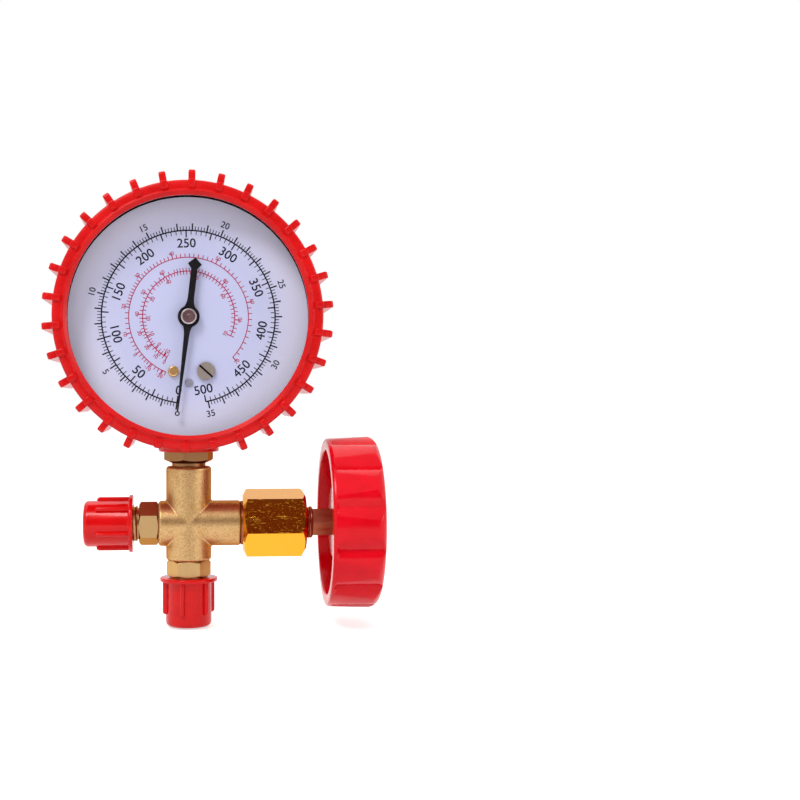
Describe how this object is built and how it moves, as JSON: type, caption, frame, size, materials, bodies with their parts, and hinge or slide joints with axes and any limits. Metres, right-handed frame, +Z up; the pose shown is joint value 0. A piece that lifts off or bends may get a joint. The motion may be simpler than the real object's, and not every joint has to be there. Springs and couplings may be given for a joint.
{
  "type": "refrigerant pressure gauge",
  "caption": "Dial pressure gauge in a ribbed rubber boot on a brass cross valve with capped flare ports and a lobed handwheel.",
  "frame": {"origin": "middle of the hose port's thread, on that port's axis", "axes": "+Z up along the hose port and the gauge's socket, the dial faces -Y, the handwheel's axis lies along +X"},
  "size_m": [0.1035, 0.0542, 0.1408],
  "materials": {
    "sand_brass": "sand textured",
    "bright_brass": "machined, polished",
    "coppery_brass": "machined",
    "tube_bronze": "drawn",
    "red_rubber": "soft satin",
    "red_plastic": "moulded, glossy",
    "pressed_steel": "bright zinc",
    "fine_steel": "turned",
    "clear_glass": "clear",
    "dial_paint": "matt print on metal",
    "pointer_black": "satin black",
    "pointer_silver": "satin",
    "black_seal": "matt",
    "white_seal": "smooth"
  },
  "bodies": {
    "valve_and_case": {"valve_body": "sand_brass", "side_port_fitting": "bright_brass", "hose_port_fitting": "bright_brass", "bonnet": "bright_brass", "bonnet_washer": "pressed_steel", "gauge_socket": "bright_brass", "restrictor_screw": "bright_brass", "gauge_case": "pressed_steel", "case_screws": "pressed_steel", "lens_gasket": "black_seal", "lens": "clear_glass", "bezel_ring": "pressed_steel", "protective_boot": "red_rubber", "dial_plate": "dial_paint", "dial_screw": "bright_brass", "dial_set_screw": "fine_steel", "movement_back_plate": "bright_brass", "movement_front_plate": "bright_brass", "movement_pillars": "bright_brass", "movement_screws": "fine_steel", "bourdon_tube": "tube_bronze", "hairspring": "tube_bronze", "hairspring_stud": "fine_steel"},
    "pointer_and_pinion": {"pointer": "pointer_black", "pointer_cap": "pointer_silver", "pinion_arbor": "fine_steel", "hairspring_collet": "bright_brass"},
    "sector": {"sector_gear": "bright_brass", "sector_arbor": "fine_steel"},
    "link": {"link_bar": "fine_steel", "tail_pin": "fine_steel"},
    "tip_of_tube": {"tube_tip": "bright_brass", "tip_pin": "fine_steel"},
    "calibration": {"calibration_screw": "fine_steel"},
    "seat": {"seat_disc": "white_seal"},
    "stem_and_wheel": {"valve_stem": "coppery_brass", "stem_o_rings": "black_seal", "handwheel": "red_plastic", "wheel_washer": "pressed_steel", "wheel_screw": "pressed_steel"},
    "side_cap": {"side_port_cap": "red_plastic"},
    "hose_cap": {"hose_port_cap": "red_plastic"}
  },
  "joints": [
    {"name": "pointer_turn", "type": "hinge", "parent": "valve_and_case", "child": "pointer_and_pinion", "pos_m": [0, 0, 0.0866], "axis": [0, 1, 0], "range_deg": [0, 342], "stiffness_Nm_per_rad": 0.005, "springref_deg": -28.65, "deforming": ["hairspring"]},
    {"name": "sector_turn", "type": "hinge", "parent": "valve_and_case", "child": "sector", "pos_m": [0, 0, 0.0704], "axis": [0, 1, 0], "range_deg": [-42.76, 0]},
    {"name": "link_turn", "type": "hinge", "parent": "sector", "child": "link", "pos_m": [0.00321, 0, 0.06657], "axis": [0, 1, 0], "range_deg": [0, 42.84]},
    {"name": "tube_flex", "type": "hinge", "parent": "valve_and_case", "child": "tip_of_tube", "pos_m": [-0.00354, 0, 0.09298], "axis": [0, 1, 0], "range_deg": [-7.27, 0], "deforming": ["bourdon_tube"]},
    {"name": "calibration_turn", "type": "hinge", "parent": "valve_and_case", "child": "calibration", "pos_m": [0.0053, 0, 0.0699], "axis": [0, 1, 0], "range_deg": [-90, 90]},
    {"name": "stem_travel", "type": "slide", "parent": "valve_and_case", "child": "seat", "axis": [1, 0, 0], "range_m": [-0.00225, 0.00225]},
    {"name": "wheel_turn", "type": "hinge", "parent": "seat", "child": "stem_and_wheel", "pos_m": [0, 0, 0.0221], "axis": [1, 0, 0], "range_deg": [-540, 540]},
    {"name": "side_cap_pull", "type": "slide", "parent": "valve_and_case", "child": "side_cap", "axis": [-1, 0, 0], "range_m": [0, 0.04]},
    {"name": "hose_cap_pull", "type": "slide", "parent": "valve_and_case", "child": "hose_cap", "axis": [0, 0, -1], "range_m": [0, 0.04]}
  ],
  "couplings": [
    {"joint": "sector_turn", "follows": "pointer_turn", "ratio": -0.125},
    {"joint": "link_turn", "follows": "pointer_turn", "ratio": 0.12524},
    {"joint": "tube_flex", "follows": "pointer_turn", "ratio": -0.021238},
    {"joint": "stem_travel", "follows": "wheel_turn", "m_per_rad": 0.00023873}
  ]
}
